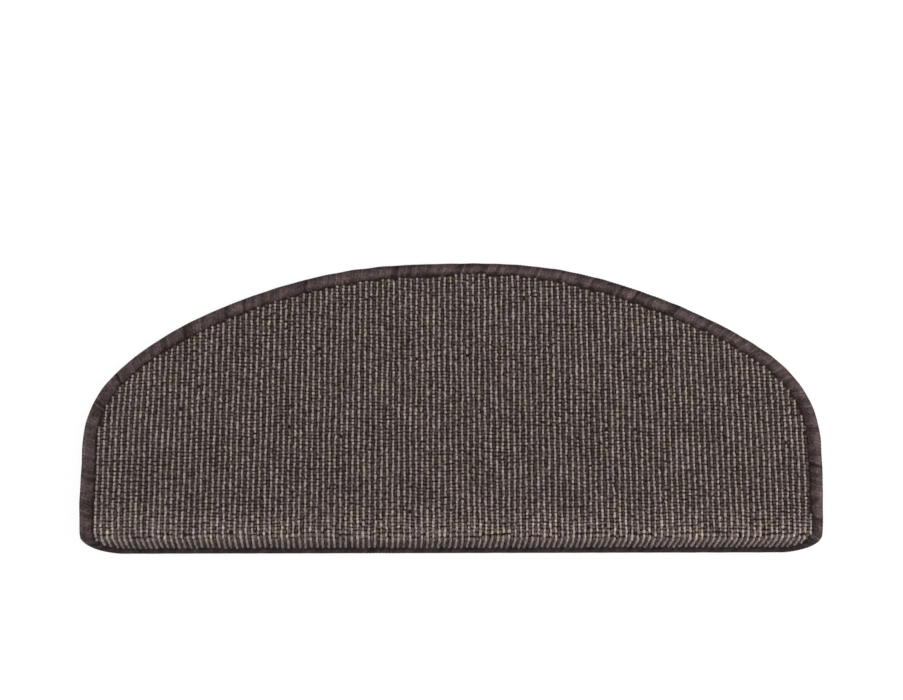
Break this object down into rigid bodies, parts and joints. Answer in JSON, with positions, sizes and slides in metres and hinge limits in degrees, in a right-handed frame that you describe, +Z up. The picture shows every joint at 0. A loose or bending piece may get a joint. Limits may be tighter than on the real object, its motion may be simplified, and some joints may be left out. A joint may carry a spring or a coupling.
{
  "type": "anti slip stair tread mat",
  "caption": "Half-round ribbed carpet mat for a stair tread, folded down over the step's front edge, whipped all round, with adhesive strips underneath.",
  "frame": {"origin": "the middle of the front adhesive strip, on the liner's underside, which lies in the plane of the step's top", "axes": "+X along the step, +Y towards the back of the tread, +Z up; the lip hangs down over the step's front at -Y"},
  "size_m": [0.65, 0.2601, 0.0392],
  "materials": {
    "loop_pile": "dense loop pile, rows of light and dark brown loops in turn",
    "whipping_yarn": "brown yarn whipped over the edge, soft sheen along the threads",
    "black_plastic": "satin extruded plastic",
    "adhesive_foam": "soft white foam tape, tacky on both faces",
    "release_paper": "smooth waxed liner paper"
  },
  "bodies": {
    "root": {"carpet": "loop_pile", "edge_binding": "whipping_yarn", "nosing_angle": "black_plastic", "front_adhesive_strip": "adhesive_foam", "rear_adhesive_strip": "adhesive_foam", "front_release_liner": "release_paper", "rear_release_liner": "release_paper"}
  },
  "joints": []
}
